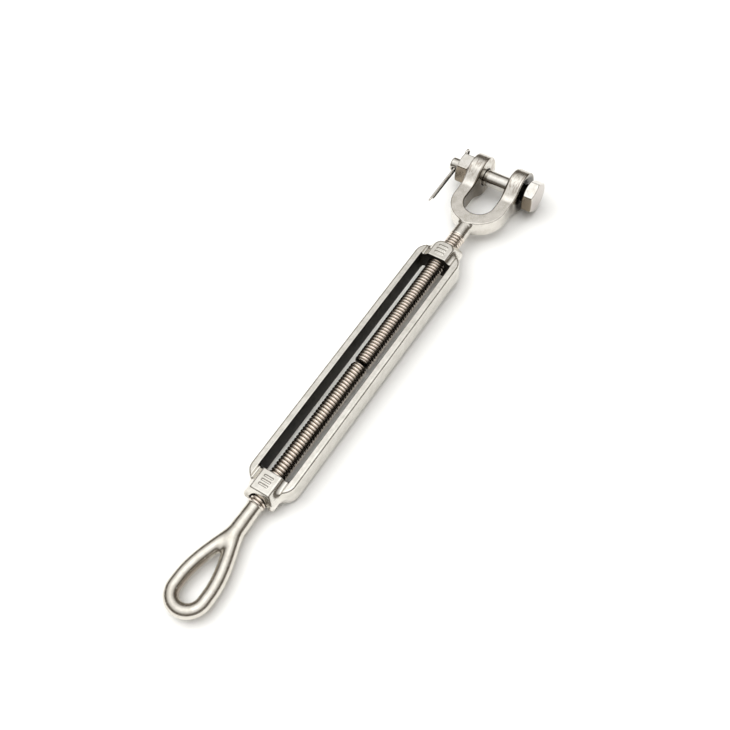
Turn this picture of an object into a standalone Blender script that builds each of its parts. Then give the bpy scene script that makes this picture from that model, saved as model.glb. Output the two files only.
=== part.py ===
"""Open-body turnbuckle for quarter-inch rigging, with a jaw and an eye.

+X points along the screw axis to the jaw, +Y across the body to the nut's
side, and +Z up, square to the plane of the opening. Every dimension below is
counted from the middle of the body on the screw axis. The finished parts hang
on an empty there, which puts the centre of the whole turnbuckle's box at the
origin. Lengths are in metres, and MM turns millimetres into metres.
"""

import math

import bmesh
import bpy
from mathutils import Matrix, Vector

MM = 0.001

# Thread: a quarter inch, 20 turns to the inch
PITCH = 25.4 * MM / 20
CREST_RADIUS = 3.10 * MM
ROOT_RADIUS = 2.45 * MM
TURN_STEPS = 12
STEM_RADIUS = 2.30 * MM
CORE_RADIUS = 1.80 * MM
RUN_CLEARANCE = 0.30 * MM
BORE_RADIUS = CREST_RADIUS + RUN_CLEARANCE

# Body: two bosses joined by two flat rails on edge, with a low web at each corner
OPENING_HALF = 4 * 25.4 * MM / 2
BOSS_LENGTH = 10.4 * MM
BOSS_END = OPENING_HALF + BOSS_LENGTH
PAD_LENGTH = 8.0 * MM
BOSS_HALF_HEIGHT = 4.95 * MM
BOSS_HALF_WIDTH = 6.6 * MM
BOSS_FLAT_HALF = 3.35 * MM
BOSS_ROUNDING = 1.9 * MM
BOSS_BEVEL = 0.5 * MM
RAIL_OUTER = 9.0 * MM
RAIL_INNER = 6.2 * MM
RAIL_HEIGHT = 8.0 * MM
RAIL_BEVEL = 0.7 * MM
RAIL_END = OPENING_HALF + 5.2 * MM
WEB_HEIGHT = 4.6 * MM
WEB_END = OPENING_HALF + 6.4 * MM
SHOULDER_RADIUS = 5.0 * MM
OPENING_CORNER = 1.6 * MM
MARK_HEIGHT = 0.2 * MM
MARK_SIZE = (0.7 * MM, 3.6 * MM)
MARK_SPACING = 1.6 * MM

# Rods: both tips stop just short of the middle of the body
TIP_GAP = 0.35 * MM
TIP_CHAMFER = 0.8 * MM

# Jaw: a fork with two round ears
JAW_THREAD_END = 66.4 * MM
JAW_GAP_HALF = 6.0 * MM
JAW_OUTER_RADIUS = 11.0 * MM
JAW_ARC_X = 83.0 * MM
JAW_THICKNESS = 6.7 * MM
JAW_BEVEL = 0.5 * MM
JAW_NECK_RADIUS = 3.25 * MM
EAR_X = 98.0 * MM
EAR_RADIUS = 7.9 * MM
EAR_INNER = 5.55 * MM
EAR_OUTER = 11.4 * MM
EAR_BEVEL = 0.6 * MM

# Clevis bolt, its nut and its split pin, all on the ears' cross axis
BOLT_RADIUS = 3.16 * MM
BOLT_HOLE_RADIUS = BOLT_RADIUS + RUN_CLEARANCE
HEX_ACROSS_FLATS = 11.1 * MM
HEAD_FACE = -(EAR_OUTER + 1.3 * MM)
HEAD_THICKNESS = 4.4 * MM
HEAD_TURN = 52
BOLT_END = 20.9 * MM
BOLT_THREAD_START = 9.0 * MM
NUT_FACE = EAR_OUTER + 0.35 * MM
NUT_THICKNESS = 4.9 * MM
NUT_TURN = 40
HEX_CHAMFER = 0.55 * MM

SPLIT_Y = 18.5 * MM
SPLIT_WIRE_RADIUS = 0.45 * MM
SPLIT_LEG_OFFSET = 0.58 * MM
SPLIT_HOLE_RADIUS = 1.3 * MM
SPLIT_LOOP_RADIUS = 1.35 * MM
SPLIT_LOOP_X = 7.7 * MM
SPLIT_LONG_LEG = 21.6 * MM
SPLIT_SHORT_LEG = 18.8 * MM

# Eye: a long loop of round bar on a round stem
EYE_BAR_RADIUS = 2.8 * MM
EYE_THREAD_END = 62.4 * MM
EYE_SPLIT_X = 72.0 * MM
EYE_WIDE_X = 94.0 * MM
EYE_FLARE = 0.76
EYE_ARC_X = 96.4 * MM
EYE_HALF_WIDTH = 5.6 * MM
EYE_SPLIT_STEPS = 10

HEX_RIM_INSET = 0.1 * MM
ROUND_STEPS = 32
OVERLAP = 0.2 * MM
WELD = 0.000005

ALONG_X = Matrix.Rotation(math.radians(90), 4, "Y")
ALONG_Y = Matrix.Rotation(math.radians(-90), 4, "X")

# The closed turnbuckle's box, from the eye to the split pin and head to bolt end
BOX_LOW = Vector((-(EYE_ARC_X + EYE_HALF_WIDTH + EYE_BAR_RADIUS),
                  HEAD_FACE - HEAD_THICKNESS, -EAR_RADIUS))
BOX_HIGH = Vector((EAR_X + SPLIT_LOOP_X + SPLIT_LOOP_RADIUS + SPLIT_WIRE_RADIUS,
                   BOLT_END, EAR_RADIUS))


def clear_scene():
    for old in list(bpy.data.objects):
        bpy.data.objects.remove(old, do_unlink=True)


def new_collection(name):
    collection = bpy.data.collections.new(name)
    bpy.context.scene.collection.children.link(collection)
    return collection


def steel(name, colour, roughness):
    """A bare metal finish."""
    material = bpy.data.materials.new(name)
    material.use_nodes = True
    shader = material.node_tree.nodes["Principled BSDF"]
    shader.inputs["Base Color"].default_value = (*colour, 1.0)
    shader.inputs["Metallic"].default_value = 1.0
    shader.inputs["Roughness"].default_value = roughness
    return material


def object_from(name, mesh_builder, collection):
    mesh = bpy.data.meshes.new(name)
    mesh_builder.normal_update()
    mesh_builder.to_mesh(mesh)
    mesh_builder.free()
    made = bpy.data.objects.new(name, mesh)
    collection.objects.link(made)
    return made


def as_helper(shape):
    """Keep a shape as a tool for booleans, out of the model itself."""
    shape.hide_render = True
    shape.display_type = "WIRE"
    return shape


def boolean(target, tool, operation):
    modifier = target.modifiers.new(tool.name, "BOOLEAN")
    modifier.operation = operation
    modifier.solver = "EXACT"
    modifier.object = tool


def bevel(target, width, segments=2):
    modifier = target.modifiers.new("rounded edges", "BEVEL")
    modifier.width = width
    modifier.segments = segments
    modifier.limit_method = "ANGLE"
    modifier.angle_limit = math.radians(40)


def finish(part, material):
    """Give a part its finish, and smooth shading with sharp edges kept."""
    part.data.materials.append(material)
    part.data.shade_smooth()
    part.data.set_sharp_from_angle(angle=math.radians(35))


def cylinder(name, collection, radius, start, end, turn, centre=(0, 0, 0), steps=ROUND_STEPS):
    """A round bar on the axis that turn gives, from start to end along it."""
    shape = bmesh.new()
    bmesh.ops.create_cone(shape, cap_ends=True, segments=steps, radius1=radius,
                          radius2=radius, depth=end - start)
    middle = Matrix.Translation((0, 0, (start + end) / 2))
    shape.transform(Matrix.Translation(centre) @ turn @ middle)
    return object_from(name, shape, collection)


def box(name, collection, low, high):
    shape = bmesh.new()
    bmesh.ops.create_cube(shape, size=1.0)
    size = [high[i] - low[i] for i in range(3)]
    middle = [(high[i] + low[i]) / 2 for i in range(3)]
    shape.transform(Matrix.Translation(middle) @ Matrix.Diagonal((*size, 1)))
    return object_from(name, shape, collection)


def turned(name, collection, profile, turn, centre=(0, 0, 0), steps=ROUND_STEPS):
    """A lathe shape: profile is (distance along the axis, radius), low end first."""
    mesh = bpy.data.meshes.new(name)
    points = [(radius, 0, along) for along, radius in reversed(profile)]
    edges = [(i, i + 1) for i in range(len(points) - 1)]
    mesh.from_pydata(points, edges, [])
    made = bpy.data.objects.new(name, mesh)
    collection.objects.link(made)
    made.matrix_world = Matrix.Translation(centre) @ turn
    screw = made.modifiers.new("lathe", "SCREW")
    screw.axis = "Z"
    screw.angle = math.radians(360)
    screw.steps = steps
    screw.render_steps = steps
    screw.use_merge_vertices = True
    screw.merge_threshold = WELD
    return made


def mesh_from_curve(name, curve_object, collection):
    """Replace a curve object by a welded mesh object in the same place."""
    bpy.context.view_layer.update()
    seen = curve_object.evaluated_get(bpy.context.evaluated_depsgraph_get())
    mesh = bpy.data.meshes.new_from_object(seen)
    shape = bmesh.new()
    shape.from_mesh(mesh)
    bmesh.ops.remove_doubles(shape, verts=shape.verts, dist=WELD)
    bmesh.ops.recalc_face_normals(shape, faces=shape.faces)
    made = object_from(name, shape, collection)
    made.matrix_world = curve_object.matrix_world.copy()
    bpy.data.objects.remove(curve_object, do_unlink=True)
    return made


def plate(name, collection, outlines, thickness, turn=None):
    """A flat plate: closed outlines in its own XY plane, inner ones are holes."""
    curve = bpy.data.curves.new(name, "CURVE")
    curve.dimensions = "2D"
    curve.fill_mode = "BOTH"
    curve.extrude = thickness / 2
    for outline in outlines:
        spline = curve.splines.new("POLY")
        spline.points.add(len(outline) - 1)
        for point, (x, y) in zip(spline.points, outline):
            point.co = (x, y, 0, 1)
        spline.use_cyclic_u = True
    shape = bpy.data.objects.new(name + "_outline", curve)
    collection.objects.link(shape)
    made = mesh_from_curve(name, shape, collection)
    if turn is not None:
        made.data.transform(turn)
    return made


def wire(name, collection, path, radii, sides=2):
    """A round bar of changing radius along a path of points."""
    curve = bpy.data.curves.new(name, "CURVE")
    curve.dimensions = "3D"
    curve.bevel_depth = 1.0
    curve.bevel_resolution = sides
    curve.use_fill_caps = True
    spline = curve.splines.new("POLY")
    spline.points.add(len(path) - 1)
    for point, place, radius in zip(spline.points, path, radii):
        point.co = (*place, 1)
        point.radius = radius
    shape = bpy.data.objects.new(name + "_path", curve)
    collection.objects.link(shape)
    return mesh_from_curve(name, shape, collection)


def arc(centre_x, centre_y, radius, start, end, steps):
    """Points of an arc between two angles in degrees, with both of its ends."""
    points = []
    for i in range(steps + 1):
        angle = math.radians(start + (end - start) * i / steps)
        points.append((centre_x + radius * math.cos(angle), centre_y + radius * math.sin(angle)))
    return points


def rounded_rectangle(half_x, half_y, radius, steps):
    outline = []
    for corner, (side_x, side_y) in enumerate([(1, 1), (-1, 1), (-1, -1), (1, -1)]):
        centre_x = side_x * (half_x - radius)
        centre_y = side_y * (half_y - radius)
        outline += arc(centre_x, centre_y, radius, 90 * corner, 90 * corner + 90, steps)
    return outline


def thread_blank(name, collection, start, end):
    """A right-hand V thread along X: one closed helical ribbon with a fan at each end.

    It runs more than a turn past start and end, and is trimmed afterwards.
    """
    shape = bmesh.new()
    first = start - 1.5 * PITCH
    count = math.ceil((end + 1.5 * PITCH - first) / PITCH * TURN_STEPS)
    crest = []
    root = []
    for i in range(count + 1):
        angle = 2 * math.pi * i / TURN_STEPS
        along = first + PITCH * i / TURN_STEPS
        across = Vector((0, math.cos(angle), math.sin(angle)))
        crest.append(shape.verts.new(across * CREST_RADIUS + Vector((along, 0, 0))))
        root.append(shape.verts.new(across * ROOT_RADIUS + Vector((along + PITCH / 2, 0, 0))))
    for i in range(count):
        shape.faces.new((crest[i], root[i], root[i + 1], crest[i + 1]))
    for i in range(count + 1 - TURN_STEPS - 1):
        above = i + TURN_STEPS
        shape.faces.new((root[i], crest[above], crest[above + 1], root[i + 1]))
    low = shape.verts.new((first, 0, 0))
    high = shape.verts.new((first + PITCH * (count / TURN_STEPS + 0.5), 0, 0))
    low_rim = crest[:TURN_STEPS + 1] + [root[0]]
    high_rim = root[count - TURN_STEPS:] + [crest[count]]
    for rim, middle in ((low_rim, low), (high_rim, high)):
        for i, corner in enumerate(rim):
            shape.faces.new((middle, corner, rim[(i + 1) % len(rim)]))
    bmesh.ops.recalc_face_normals(shape, faces=shape.faces)
    return object_from(name, shape, collection)


def threaded_rod(name, collection, helpers, length, stem_radius, place):
    """A threaded bar from a chamfered tip at the origin along +X, then placed."""
    rod = thread_blank(name, collection, 0, length)
    rod.data.transform(place)
    if place.determinant() < 0:
        rod.data.flip_normals()
    outside = CREST_RADIUS + OVERLAP
    tip_radius = CREST_RADIUS - TIP_CHAMFER
    run_out = length + outside - stem_radius
    profile = [(0, 0), (0, tip_radius), (outside - tip_radius, outside), (length, outside),
               (run_out, stem_radius), (run_out, 0)]
    envelope = as_helper(turned(name + "_envelope", helpers, profile, ALONG_X))
    if place.determinant() < 0:
        place = place @ Matrix.Diagonal((1, -1, 1, 1))
    envelope.matrix_world = place @ ALONG_X
    boolean(rod, envelope, "INTERSECT")
    return rod


def hexagon(across_flats):
    """Corners of a regular hexagon with one flat facing +X."""
    corner = across_flats / 2 / math.cos(math.radians(30))
    return arc(0, 0, corner, 30, 330, 5)


def hex_block(name, collection, helpers, start, thickness, turn_degrees):
    """A hexagon along Y on the ears' axis, with the corners of both ends chamfered.

    turn_degrees is the angle of one flat from +X towards +Z.
    """
    turn = Matrix.Rotation(math.radians(-turn_degrees), 4, "Y") @ ALONG_Y
    block = plate(name, collection, [hexagon(HEX_ACROSS_FLATS)], thickness)
    block.data.transform(Matrix.Translation((0, start + thickness / 2, 0)) @ turn)
    block.location = (EAR_X, 0, 0)
    corner = HEX_ACROSS_FLATS / 2 / math.cos(math.radians(30)) + OVERLAP
    rim = HEX_ACROSS_FLATS / 2 - HEX_RIM_INSET
    profile = [(start, 0), (start, rim), (start + HEX_CHAMFER, corner),
               (start + thickness - HEX_CHAMFER, corner), (start + thickness, rim),
               (start + thickness, 0)]
    cone = turned(name + "_cone", helpers, profile, ALONG_Y, (EAR_X, 0, 0))
    boolean(block, as_helper(cone), "INTERSECT")
    return block


def rail_outline(side):
    """One rail from above, with its outer corners rounded like the body's shoulders."""
    centre_x = RAIL_END - SHOULDER_RADIUS
    centre_y = RAIL_OUTER - SHOULDER_RADIUS
    nose = math.degrees(math.asin((RAIL_INNER - centre_y) / SHOULDER_RADIUS))
    outline = arc(centre_x, centre_y, SHOULDER_RADIUS, nose, 90, 5)
    outline += arc(-centre_x, centre_y, SHOULDER_RADIUS, 90, 180 - nose, 5)
    return [(x, side * y) for x, y in outline]


def make_boss(end_name, side, helpers):
    """A hexagonal boss whose outer end is rounded, and drafted towards its flats."""
    outline = [(BOSS_HALF_WIDTH, 0), (BOSS_FLAT_HALF, BOSS_HALF_HEIGHT),
               (-BOSS_FLAT_HALF, BOSS_HALF_HEIGHT), (-BOSS_HALF_WIDTH, 0),
               (-BOSS_FLAT_HALF, -BOSS_HALF_HEIGHT), (BOSS_FLAT_HALF, -BOSS_HALF_HEIGHT)]
    on_end = Matrix(((0, 0, 1, 0), (1, 0, 0, 0), (0, 1, 0, 0), (0, 0, 0, 1)))
    boss = plate(end_name + "_boss", helpers, [outline], BOSS_LENGTH, on_end)
    boss.data.transform(Matrix.Translation((side * (OPENING_HALF + BOSS_LENGTH / 2), 0, 0)))
    bevel(boss, BOSS_BEVEL)
    rim = BOSS_HALF_WIDTH - BOSS_ROUNDING
    start = OPENING_HALF - OVERLAP
    nose = [(BOSS_END - BOSS_ROUNDING + x, rim + y) for x, y in arc(0, 0, BOSS_ROUNDING, 90, 0, 5)]
    profile = [(start, 0), (start, BOSS_HALF_WIDTH), *nose, (BOSS_END, 0)]
    turn = ALONG_X if side > 0 else Matrix.Rotation(math.pi, 4, "Z") @ ALONG_X
    rounding = turned(end_name + "_boss_rounding", helpers, profile, turn)
    boolean(boss, as_helper(rounding), "INTERSECT")
    tip = BOSS_END + 2 * OVERLAP
    draft = (tip - OPENING_HALF - PAD_LENGTH) / BOSS_HALF_HEIGHT
    top = BOSS_HALF_HEIGHT + OVERLAP
    wedge_outline = [(start, -top), (tip - draft * top, -top), (tip, 0), (tip - draft * top, top),
                     (start, top)]
    wedge_outline = [(side * x, z) for x, z in wedge_outline]
    across = Matrix.Rotation(math.radians(90), 4, "X")
    width = 2 * (BOSS_HALF_WIDTH + OVERLAP)
    wedge = plate(end_name + "_boss_draft", helpers, [wedge_outline], width, across)
    boolean(boss, as_helper(wedge), "INTERSECT")
    return as_helper(boss)


def make_body(parts, helpers):
    """The one-piece frame: two bosses, the low webs beside them and the rails."""
    outer = rounded_rectangle(WEB_END, RAIL_OUTER - OVERLAP, SHOULDER_RADIUS, 6)
    inner = rounded_rectangle(OPENING_HALF + OVERLAP, RAIL_INNER + OVERLAP, OPENING_CORNER, 3)
    body = plate("turnbuckle_body", parts, [outer, inner], WEB_HEIGHT)
    bevel(body, RAIL_BEVEL)
    for rail_name, side in (("far", 1), ("near", -1)):
        rail = plate(rail_name + "_rail", helpers, [rail_outline(side)], RAIL_HEIGHT)
        bevel(rail, RAIL_BEVEL)
        boolean(body, as_helper(rail), "UNION")
    for end_name, side in (("jaw", 1), ("eye", -1)):
        boolean(body, make_boss(end_name, side, helpers), "UNION")
        for i in (-1, 0, 1):
            mark_x = side * (OPENING_HALF + PAD_LENGTH / 2) + i * MARK_SPACING
            low = (mark_x - MARK_SIZE[0] / 2, -MARK_SIZE[1] / 2, BOSS_HALF_HEIGHT - OVERLAP)
            high = (mark_x + MARK_SIZE[0] / 2, MARK_SIZE[1] / 2, BOSS_HALF_HEIGHT + MARK_HEIGHT)
            mark = box(f"{end_name}_mark_{i + 2}", helpers, low, high)
            boolean(body, as_helper(mark), "UNION")
    bore = cylinder("bore", helpers, BORE_RADIUS, -BOSS_END - OVERLAP, BOSS_END + OVERLAP, ALONG_X)
    boolean(body, as_helper(bore), "DIFFERENCE")
    return body


def make_jaw(parts, helpers):
    """The fork: a right-hand threaded rod, a U of flat bar and two ears."""
    place = Matrix.Translation((TIP_GAP, 0, 0))
    length = JAW_THREAD_END - TIP_GAP
    jaw = threaded_rod("jaw_end", parts, helpers, length, STEM_RADIUS, place)
    back_x = JAW_ARC_X - JAW_OUTER_RADIUS
    profile = [(JAW_THREAD_END - PITCH, 0), (JAW_THREAD_END, CORE_RADIUS),
               (JAW_THREAD_END + PITCH, CREST_RADIUS),
               (back_x + PITCH, JAW_NECK_RADIUS), (back_x + 2 * PITCH, 0)]
    neck = turned("jaw_neck", helpers, profile, ALONG_X, steps=TURN_STEPS * 2)
    boolean(jaw, as_helper(neck), "UNION")
    fork_outline = arc(JAW_ARC_X, 0, JAW_OUTER_RADIUS, 90, 270, 24)
    fork_outline += [(EAR_X, -JAW_OUTER_RADIUS), (EAR_X, -JAW_GAP_HALF)]
    fork_outline += arc(JAW_ARC_X, 0, JAW_GAP_HALF, 270, 90, 20)
    fork_outline += [(EAR_X, JAW_GAP_HALF), (EAR_X, JAW_OUTER_RADIUS)]
    fork = plate("jaw_fork", helpers, [fork_outline], JAW_THICKNESS)
    bevel(fork, JAW_BEVEL, 1)
    boolean(jaw, as_helper(fork), "UNION")
    for end_name, side in (("far", 1), ("near", -1)):
        faces = sorted((side * EAR_INNER, side * EAR_OUTER))
        ear = cylinder(end_name + "_ear", helpers, EAR_RADIUS, faces[0], faces[1], ALONG_Y,
                       (EAR_X, 0, 0))
        bevel(ear, EAR_BEVEL)
        boolean(jaw, as_helper(ear), "UNION")
    reach = EAR_OUTER + OVERLAP
    hole = cylinder("bolt_hole", helpers, BOLT_HOLE_RADIUS, -reach, reach, ALONG_Y, (EAR_X, 0, 0))
    boolean(jaw, as_helper(hole), "DIFFERENCE")
    return jaw


def smooth_step(value):
    """0 to 1 with level ends."""
    value = min(max(value, 0.0), 1.0)
    return value * value * (3 - 2 * value)


def half_loop_path():
    """The far side of the loop as (place, radius), from the stem to the end."""
    start = EYE_THREAD_END - PITCH
    path = [((-start, 0, 0), CORE_RADIUS), ((-EYE_THREAD_END, 0, 0), EYE_BAR_RADIUS)]
    for i in range(EYE_SPLIT_STEPS + 1):
        share = i / EYE_SPLIT_STEPS
        along = EYE_SPLIT_X + (EYE_WIDE_X - EYE_SPLIT_X) * share
        out = EYE_HALF_WIDTH * smooth_step(share ** EYE_FLARE)
        path.append(((-along, out, 0), EYE_BAR_RADIUS))
    for x, y in arc(-EYE_ARC_X, 0, EYE_HALF_WIDTH, 90, 190, 10):
        path.append(((x, y, 0), EYE_BAR_RADIUS))
    return path


def make_eye(parts, helpers):
    """The eye: a left-hand threaded rod and a loop that is even about its middle."""
    place = Matrix.Translation((-TIP_GAP, 0, 0)) @ Matrix.Diagonal((-1, 1, 1, 1))
    eye = threaded_rod("eye_end", parts, helpers, EYE_THREAD_END - TIP_GAP, STEM_RADIUS, place)
    places, radii = zip(*half_loop_path())
    loop = wire("eye_loop", helpers, places, radii, 4)
    shape = bmesh.new()
    shape.from_mesh(loop.data)
    everything = shape.verts[:] + shape.edges[:] + shape.faces[:]
    bmesh.ops.bisect_plane(shape, geom=everything, dist=WELD, plane_co=(0, 0, 0),
                           plane_no=(0, -1, 0), clear_outer=True)
    shape.to_mesh(loop.data)
    shape.free()
    halves = loop.modifiers.new("both sides", "MIRROR")
    halves.use_axis = (False, True, False)
    halves.merge_threshold = WELD
    boolean(eye, as_helper(loop), "UNION")
    return eye


def make_bolt(parts, helpers, jaw):
    """The clevis bolt: hexagonal head, plain shank, threaded and drilled end."""
    bolt = hex_block("clevis_bolt", parts, helpers, HEAD_FACE - HEAD_THICKNESS, HEAD_THICKNESS,
                     HEAD_TURN)
    bolt.parent = jaw
    shank = cylinder("bolt_shank", helpers, BOLT_RADIUS, HEAD_FACE - OVERLAP, BOLT_THREAD_START,
                     ALONG_Y, (EAR_X, 0, 0))
    boolean(bolt, as_helper(shank), "UNION")
    place = Matrix.Translation((EAR_X, BOLT_END, 0)) @ Matrix.Rotation(math.radians(-90), 4, "Z")
    length = BOLT_END - BOLT_THREAD_START + OVERLAP
    end = threaded_rod("bolt_thread", helpers, helpers, length, STEM_RADIUS, place)
    boolean(bolt, as_helper(end), "UNION")
    hole = cylinder("split_pin_hole", helpers, SPLIT_HOLE_RADIUS, -BOLT_RADIUS - OVERLAP,
                    BOLT_RADIUS + OVERLAP, ALONG_X, (EAR_X, SPLIT_Y, 0), TURN_STEPS)
    boolean(bolt, as_helper(hole), "DIFFERENCE")
    return bolt


def make_nut(parts, helpers, bolt):
    """The nut between the far ear and the split pin."""
    nut = hex_block("hex_nut", parts, helpers, NUT_FACE, NUT_THICKNESS, NUT_TURN)
    nut.parent = bolt
    nut.location = (0, 0, 0)
    hole = cylinder("nut_bore", helpers, BORE_RADIUS, NUT_FACE - OVERLAP,
                    NUT_FACE + NUT_THICKNESS + OVERLAP, ALONG_Y, (EAR_X, 0, 0))
    boolean(nut, as_helper(hole), "DIFFERENCE")
    return nut


def make_split_pin(parts, bolt):
    """The split pin: one wire, with a long leg, a round loop and a short leg."""
    bend = math.degrees(math.asin(SPLIT_LEG_OFFSET / SPLIT_LOOP_RADIUS))
    outline = [(-SPLIT_LONG_LEG, SPLIT_LEG_OFFSET)]
    outline += arc(SPLIT_LOOP_X, 0, SPLIT_LOOP_RADIUS, 180 - bend, bend - 180, 14)
    outline += [(-SPLIT_SHORT_LEG, -SPLIT_LEG_OFFSET)]
    path = [(x, 0, z) for x, z in outline]
    pin = wire("split_pin", parts, path, [SPLIT_WIRE_RADIUS] * len(path))
    pin.parent = bolt
    pin.location = (0, SPLIT_Y, 0)
    return pin


def hang_on_screw_axis(parts, helpers):
    """Hang everything on an empty that puts the box's centre at the origin."""
    screw_axis = bpy.data.objects.new("screw_axis", None)
    screw_axis.location = -(BOX_LOW + BOX_HIGH) / 2
    for shape in [*parts.objects, *helpers.objects]:
        if shape.parent is None:
            shape.parent = screw_axis
    parts.objects.link(screw_axis)


def main():
    clear_scene()
    parts = new_collection("turnbuckle")
    helpers = new_collection("helpers")
    body = make_body(parts, helpers)
    jaw = make_jaw(parts, helpers)
    eye = make_eye(parts, helpers)
    bolt = make_bolt(parts, helpers, jaw)
    nut = make_nut(parts, helpers, bolt)
    split_pin = make_split_pin(parts, bolt)
    hang_on_screw_axis(parts, helpers)
    finish(body, steel("cast stainless", (0.63, 0.61, 0.58), 0.26))
    finish(jaw, steel("forged stainless", (0.60, 0.58, 0.55), 0.24))
    finish(eye, steel("polished stainless", (0.62, 0.60, 0.56), 0.20))
    finish(bolt, steel("bolt stainless", (0.58, 0.55, 0.48), 0.22))
    finish(nut, steel("nut stainless", (0.56, 0.54, 0.49), 0.28))
    finish(split_pin, steel("wire stainless", (0.50, 0.47, 0.43), 0.30))


main()
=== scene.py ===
"""The looks of an open-body rigging turnbuckle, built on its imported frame.

Each visible piece is a closed skin made fine enough to show its own forged, cast
or machined shape, and it stands for the CAD node of the same part. Shapes are
written as distance fields in millimetres, counted from the middle of the body on
the screw axis: negative inside the metal and positive outside.
"""
import math

import bmesh
import bpy
import numpy as np
from mathutils import Matrix, Vector


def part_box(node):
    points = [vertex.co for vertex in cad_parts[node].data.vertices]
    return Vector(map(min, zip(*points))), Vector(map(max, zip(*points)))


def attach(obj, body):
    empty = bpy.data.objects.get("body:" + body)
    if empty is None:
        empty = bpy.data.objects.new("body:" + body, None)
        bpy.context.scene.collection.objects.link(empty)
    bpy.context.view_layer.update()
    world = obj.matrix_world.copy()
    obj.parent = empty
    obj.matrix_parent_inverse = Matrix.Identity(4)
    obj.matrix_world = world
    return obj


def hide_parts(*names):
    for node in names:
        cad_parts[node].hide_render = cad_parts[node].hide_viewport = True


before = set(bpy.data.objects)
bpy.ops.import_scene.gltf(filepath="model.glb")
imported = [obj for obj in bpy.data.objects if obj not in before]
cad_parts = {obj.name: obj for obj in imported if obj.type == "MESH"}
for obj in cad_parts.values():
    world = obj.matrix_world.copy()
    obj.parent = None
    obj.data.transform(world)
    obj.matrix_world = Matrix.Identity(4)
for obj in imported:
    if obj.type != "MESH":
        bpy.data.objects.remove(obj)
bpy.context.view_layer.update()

MM = 0.001
TAU = 2 * math.pi


# Sizes from the frame

def middle_of(node):
    low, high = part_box(node)
    return (low + high) / 2


BODY_MIDDLE = Vector((middle_of("turnbuckle_body").x, middle_of("turnbuckle_body").y, 0))


def extent(node):
    """A node's lowest and highest corners, in millimetres from the body's middle."""
    low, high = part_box(node)
    return np.array((low - BODY_MIDDLE) / MM), np.array((high - BODY_MIDDLE) / MM)


body_low, body_high = extent("turnbuckle_body")
jaw_low, jaw_high = extent("jaw_end")
eye_low, eye_high = extent("eye_end")
bolt_low, bolt_high = extent("clevis_bolt")
nut_low, nut_high = extent("hex_nut")
pin_low, pin_high = extent("split_pin")

# Sizes in millimetres, and turns in degrees

PITCH = 25.4 / 20
CREST = 3.10
THREAD_DEPTH = 0.5
GAP = 0.3

BOSS_LENGTH = 10.4
BOSS_END = body_high[0]
OPENING_HALF = BOSS_END - BOSS_LENGTH
PAD_END = OPENING_HALF + 8.0
BOSS_TOP = 4.95
BOSS_CORNER = 6.6
BOSS_FLAT = 3.7
BOSS_NOSE = 0.4
JAW_BOSS_ROUNDING = 2.4
EYE_BOSS_ROUNDING = 0.45
RAIL_OUTER = body_high[1]
RAIL_INNER = 6.2
RAIL_TOP = 4.0
RAIL_END = OPENING_HALF + 5.2
WEB_TOP = 2.3
WEB_END = OPENING_HALF + 6.5
WEB_MELT = 2.4
SHOULDER = 5.0
MARK_SPACING = 1.6
MARK_HALF_WIDTH = 0.35
MARK_HALF_LENGTH = 1.8
MARK_HEIGHT = 0.2

JAW_TIP = jaw_low[0]
JAW_THREAD_END = 66.4
EAR_RADIUS = jaw_high[2]
EAR_OUTER = jaw_high[1]
EAR_INNER = 5.55
EAR_X = jaw_high[0] - EAR_RADIUS
FORK_ARC_X = 83.0
FORK_OUTER = 11.0
FORK_INNER = 6.0
FORK_TOP = 3.35
FORK_FLAT_END = 88.0
NECK_RADIUS = 3.25
NECK_MIDDLE = 70.5
NECK_FLARE_END = 74.0
JAW_BAR_END = 71.5

EYE_TIP = -eye_high[0]
EYE_THREAD_END = 62.4
EYE_BAR_END = 64.5
BAR_RADIUS = 2.55
STEM_RADIUS = 2.8
EYE_MELT = 2.4
EYE_HALF_WIDTH = eye_high[1] - BAR_RADIUS
EYE_ARC_X = -eye_low[0] - EYE_HALF_WIDTH - BAR_RADIUS
EYE_SPLIT_X = 72.0
EYE_WIDE_X = 94.0
EYE_FLARE = 0.76
STEM_SPREAD = 0.45
STEM_SPREAD_START = 63.0
LOOP_BAR_OUT = 1.2

BOLT_RADIUS = 3.16
BOLT_THREAD_START = 9.0
BOLT_NOSE_RADIUS = 2.75
BOLT_NOSE_START = 17.0
BOLT_CROSS_HOLE = 1.3
HEAD_END = bolt_low[1]
HEAD_FACE = HEAD_END + 4.4
BOLT_END = bolt_high[1]
ACROSS_FLATS = 11.1
HEAD_TURN = 52
NUT_TURN = 40

SPLIT_Y = (pin_low[1] + pin_high[1]) / 2
WIRE_RADIUS = (pin_high[1] - pin_low[1]) / 2


# Distance fields

def meet(a, b, radius):
    """Where both shapes are, with the edge between them rounded."""
    reach = np.hypot(np.maximum(a + radius, 0), np.maximum(b + radius, 0))
    return np.minimum(np.maximum(a, b), -radius) + reach


def join(a, b, radius):
    """Both shapes as one, with a round fillet between them."""
    reach = np.hypot(np.maximum(radius - a, 0), np.maximum(radius - b, 0))
    return np.maximum(np.minimum(a, b), radius) - reach


def melt(a, b, width):
    """Both shapes as one, flowing into each other over a width."""
    share = np.maximum(width - np.abs(a - b), 0) / width
    return np.minimum(a, b) - share * share * width / 4


def ease(low, high, value):
    """0 to 1 between low and high, level at both ends."""
    share = np.clip((value - low) / (high - low), 0, 1)
    return share * share * (3 - 2 * share)


def soft(value, rounding):
    """The absolute value with its corner rounded."""
    return np.sqrt(value * value + rounding * rounding)


def rounded_rectangle(x, y, half_x, half_y, radius):
    dx = np.abs(x) - half_x + radius
    dy = np.abs(y) - half_y + radius
    return np.hypot(np.maximum(dx, 0), np.maximum(dy, 0)) + np.minimum(np.maximum(dx, dy), 0) - radius


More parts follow.
